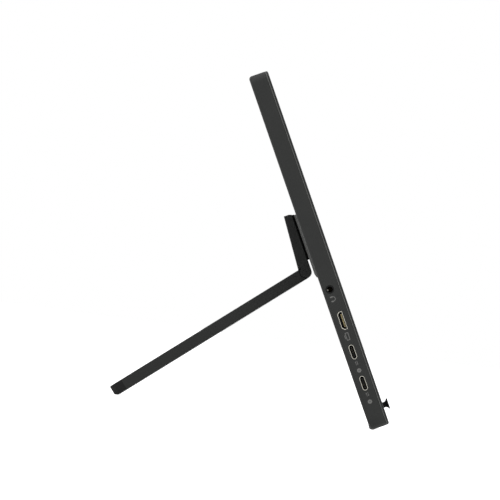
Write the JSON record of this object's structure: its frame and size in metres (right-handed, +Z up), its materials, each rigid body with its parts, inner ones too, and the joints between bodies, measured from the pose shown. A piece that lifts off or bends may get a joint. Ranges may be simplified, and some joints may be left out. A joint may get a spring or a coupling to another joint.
{
  "type": "portable monitor",
  "caption": "Thin flat portable monitor with side sockets, a small front joystick and a rear stand whose leg swings on a friction hinge.",
  "frame": {"origin": "middle of the part's box, on the table plane it stands on", "axes": "+X to the viewer's right along the width, +Y away from the viewer, +Z up"},
  "size_m": [0.356, 0.1691, 0.2038],
  "materials": {
    "casing": "fine matt texture",
    "bezel": "fine matt texture",
    "foam": "closed-cell foam",
    "screen": "anti-glare",
    "diffuser": "satin film",
    "acrylic": "clear",
    "reflector": "white film",
    "sheet_steel": "bare",
    "lamp_strip": "white strip with yellow lamps",
    "circuit_board": "solder mask",
    "flex_film": "amber film",
    "chip_resin": "moulded resin",
    "ferrite": "sintered",
    "socket_steel": "nickel plated",
    "socket_resin": "moulded resin",
    "contact_brass": "bright",
    "speaker_box": "moulded",
    "screw_steel": "zinc plated",
    "switch_resin": "moulded resin",
    "knob_rubber": "matt rubber",
    "plate_paint": "satin paint",
    "stand_plastic": "fine matt texture",
    "foot_rubber": "matt rubber"
  },
  "bodies": {
    "display": {"rear_cover": "casing", "front_bezel": "bezel", "panel_gasket": "foam", "lcd_panel": "screen", "diffuser_sheet": "diffuser", "light_guide": "acrylic", "reflector_sheet": "reflector", "panel_tray": "sheet_steel", "lamp_bar": "lamp_strip", "panel_driver_board": "circuit_board", "panel_flex_tabs": "flex_film", "main_board": "circuit_board", "scaler_chip": "chip_resin", "memory_chips": "chip_resin", "power_inductors": "ferrite", "data_socket_lower_shell": "socket_steel", "data_socket_lower_tongue": "socket_resin", "data_socket_upper_shell": "socket_steel", "data_socket_upper_tongue": "socket_resin", "video_socket_shell": "socket_steel", "video_socket_tongue": "socket_resin", "audio_jack_body": "socket_resin", "audio_jack_contact": "contact_brass", "display_cable": "flex_film", "joystick_cable": "flex_film", "speaker_left": "speaker_box", "speaker_right": "speaker_box", "cover_screws": "screw_steel", "board_screws": "screw_steel", "joystick_case": "switch_resin", "joystick_lid": "sheet_steel", "joystick_dome": "sheet_steel", "joystick_board": "circuit_board", "joystick_screws": "screw_steel", "mount_plate": "plate_paint", "bracket_pad": "foam", "stand_bracket": "stand_plastic", "bracket_inserts": "contact_brass", "bracket_screws": "screw_steel", "friction_sleeves": "sheet_steel", "hinge_caps": "stand_plastic", "bottom_feet": "foot_rubber"},
    "leg": {"leg_shell": "stand_plastic", "leg_stiffener": "sheet_steel", "leg_cover": "stand_plastic", "leg_foot": "foot_rubber", "hinge_pin": "screw_steel"},
    "stick_carrier": {"joystick_carrier": "switch_resin"},
    "stick_gimbal": {"joystick_gimbal": "switch_resin"},
    "stick": {"joystick_stem": "screw_steel", "joystick_cap": "knob_rubber"}
  },
  "joints": [
    {"name": "stand_hinge", "type": "hinge", "parent": "display", "child": "leg", "pos_m": [0, -0.02283, 0.08834], "axis": [1, 0, 0], "range_deg": [-77, 0]},
    {"name": "joystick_press", "type": "slide", "parent": "display", "child": "stick_carrier", "axis": [0, 0.8929, -0.4503], "range_m": [0, 0.0003], "stiffness_N_per_m": 3000},
    {"name": "joystick_tilt_up_down", "type": "hinge", "parent": "stick_carrier", "child": "stick_gimbal", "pos_m": [0.14, -0.07654, 0.0125], "axis": [1, 0, 0], "range_deg": [-7, 7], "stiffness_Nm_per_rad": 0.02},
    {"name": "joystick_tilt_left_right", "type": "hinge", "parent": "stick_gimbal", "child": "stick", "pos_m": [0.14, -0.07654, 0.0125], "axis": [0, 0.4503, 0.8929], "range_deg": [-7, 7], "stiffness_Nm_per_rad": 0.02}
  ]
}
